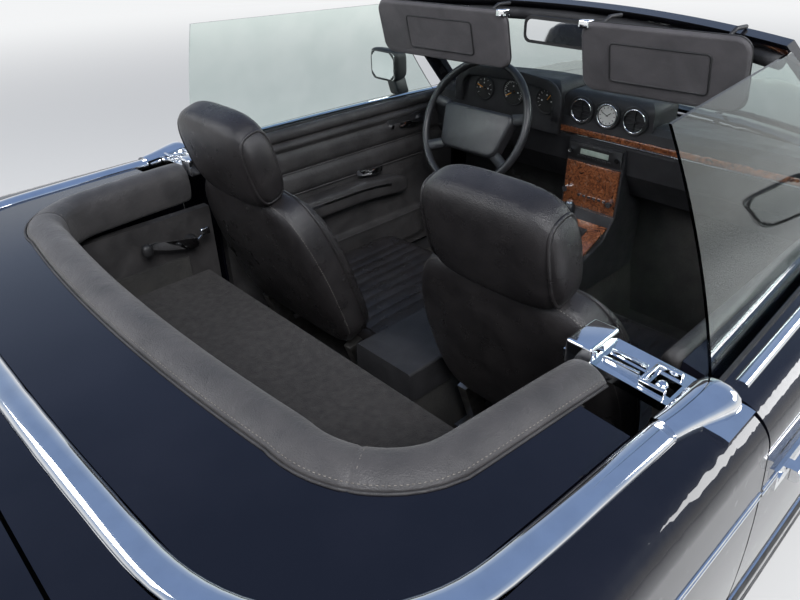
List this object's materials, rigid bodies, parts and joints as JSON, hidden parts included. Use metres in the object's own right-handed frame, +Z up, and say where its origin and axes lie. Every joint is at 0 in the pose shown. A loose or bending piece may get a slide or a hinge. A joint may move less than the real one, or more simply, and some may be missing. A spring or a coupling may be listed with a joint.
{
  "type": "two-seat convertible car",
  "caption": "Low two-seat open car with its soft top stowed under a padded deck cover, doors, hood and trunk lid hinged, front wheels steered.",
  "frame": {"origin": "on the ground under the middle of the car's length and width", "axes": "+X points forward along the car, +Y to the driver's left, +Z up"},
  "size_m": [4.39, 1.89, 1.2829],
  "materials": {
    "paint": "high gloss black",
    "chrome": "polished",
    "clear_glass": "green tinted window glass",
    "lamp_glass": "fluted clear lens",
    "tail_lens": "ribbed red and amber lens",
    "grille_metal": "satin",
    "cladding": "ribbed satin",
    "underseal": "dull underseal",
    "vinyl": "grained charcoal vinyl",
    "seat_leather": "grained black leather",
    "door_vinyl": "grained black trim",
    "dash_vinyl": "soft grained dash",
    "carpet": "short pile carpet",
    "visor_vinyl": "grey vinyl",
    "wheel_rim_plastic": "moulded rim",
    "tyre": "black rubber",
    "alloy": "painted alloy",
    "steel": "forged steel",
    "iron": "cast and painted",
    "exhaust_steel": "aluminised tube",
    "black_plastic": "satin black"
  },
  "bodies": {
    "body": {"front_apron": "paint", "front_fenders": "paint", "cowl": "paint", "rear_quarters": "paint", "rear_panel": "paint", "deck_rail": "chrome", "lock_plates": "chrome", "windscreen_frame": "paint", "windscreen_glass": "clear_glass", "headlamps": "lamp_glass", "tail_lamps": "tail_lens", "grille": "grille_metal", "front_bumper": "chrome", "rear_bumper": "chrome", "sills": "cladding", "floor_pan": "underseal", "engine_bay": "underseal", "trunk_tub": "underseal", "dashboard": "dash_vinyl", "console": "dash_vinyl", "seat_cushions": "seat_leather", "seat_backs": "seat_leather", "seat_frames": "steel", "luggage_shelf": "carpet", "rear_side_trim": "door_vinyl", "sun_visors": "visor_vinyl", "interior_mirror": "black_plastic", "steering_column": "black_plastic", "front_axle": "iron", "rear_axle": "iron", "engine": "iron", "exhaust": "exhaust_steel"},
    "door_left": {"door_left": "paint", "door_left_trim": "door_vinyl", "door_left_glass": "clear_glass", "door_left_mirror": "black_plastic", "door_left_handle": "chrome"},
    "door_right": {"door_right": "paint", "door_right_trim": "door_vinyl", "door_right_glass": "clear_glass", "door_right_mirror": "black_plastic", "door_right_handle": "chrome"},
    "hood": {"hood": "paint"},
    "trunk_lid": {"trunk_lid": "paint"},
    "top_cover": {"cover_lid": "paint", "cover_pad": "vinyl"},
    "steering_wheel": {"steering_wheel": "wheel_rim_plastic"},
    "knuckle_left": {"knuckle_left": "iron"},
    "knuckle_right": {"knuckle_right": "iron"},
    "wheel_front_left": {"tyre_front_left": "tyre", "rim_front_left": "alloy"},
    "wheel_front_right": {"tyre_front_right": "tyre", "rim_front_right": "alloy"},
    "wheel_rear_left": {"tyre_rear_left": "tyre", "rim_rear_left": "alloy"},
    "wheel_rear_right": {"tyre_rear_right": "tyre", "rim_rear_right": "alloy"}
  },
  "joints": [
    {"name": "door_left_hinge", "type": "hinge", "parent": "body", "child": "door_left", "pos_m": [0.642, 0.895, 0.444], "axis": [0, 0, -1], "range_deg": [0, 65]},
    {"name": "door_right_hinge", "type": "hinge", "parent": "body", "child": "door_right", "pos_m": [0.642, -0.895, 0.444], "axis": [0, 0, 1], "range_deg": [0, 65]},
    {"name": "hood_hinge", "type": "hinge", "parent": "body", "child": "hood", "pos_m": [0.684, 0, 0.906], "axis": [0, -1, 0], "range_deg": [0, 55]},
    {"name": "trunk_lid_hinge", "type": "hinge", "parent": "body", "child": "trunk_lid", "pos_m": [-1.29, 0, 0.912], "axis": [0, 1, 0], "range_deg": [0, 65]},
    {"name": "top_cover_hinge", "type": "hinge", "parent": "body", "child": "top_cover", "pos_m": [-1.189, 0, 0.922], "axis": [0, -1, 0], "range_deg": [0, 80]},
    {"name": "steering_wheel_turn", "type": "hinge", "parent": "body", "child": "steering_wheel", "pos_m": [0.328, 0.36, 0.884], "axis": [-0.9063, 0, 0.4226], "range_deg": [-499.2, 499.2]},
    {"name": "steer_left", "type": "hinge", "parent": "body", "child": "knuckle_left", "pos_m": [1.35, 0.666, 0.318], "axis": [0, 0, 1], "range_deg": [-32, 32]},
    {"name": "steer_right", "type": "hinge", "parent": "body", "child": "knuckle_right", "pos_m": [1.35, -0.666, 0.318], "axis": [0, 0, 1], "range_deg": [-32, 32]},
    {"name": "spin_front_left", "type": "hinge", "parent": "knuckle_left", "child": "wheel_front_left", "pos_m": [1.35, 0.726, 0.318], "axis": [0, 1, 0], "continuous": true},
    {"name": "spin_front_right", "type": "hinge", "parent": "knuckle_right", "child": "wheel_front_right", "pos_m": [1.35, -0.726, 0.318], "axis": [0, 1, 0], "continuous": true},
    {"name": "spin_rear_left", "type": "hinge", "parent": "body", "child": "wheel_rear_left", "pos_m": [-1.11, 0.72, 0.318], "axis": [0, 1, 0], "continuous": true},
    {"name": "spin_rear_right", "type": "hinge", "parent": "body", "child": "wheel_rear_right", "pos_m": [-1.11, -0.72, 0.318], "axis": [0, 1, 0], "continuous": true}
  ],
  "couplings": [
    {"joint": "steer_right", "follows": "steer_left", "ratio": 1},
    {"joint": "steering_wheel_turn", "follows": "steer_left", "ratio": 15.6}
  ]
}
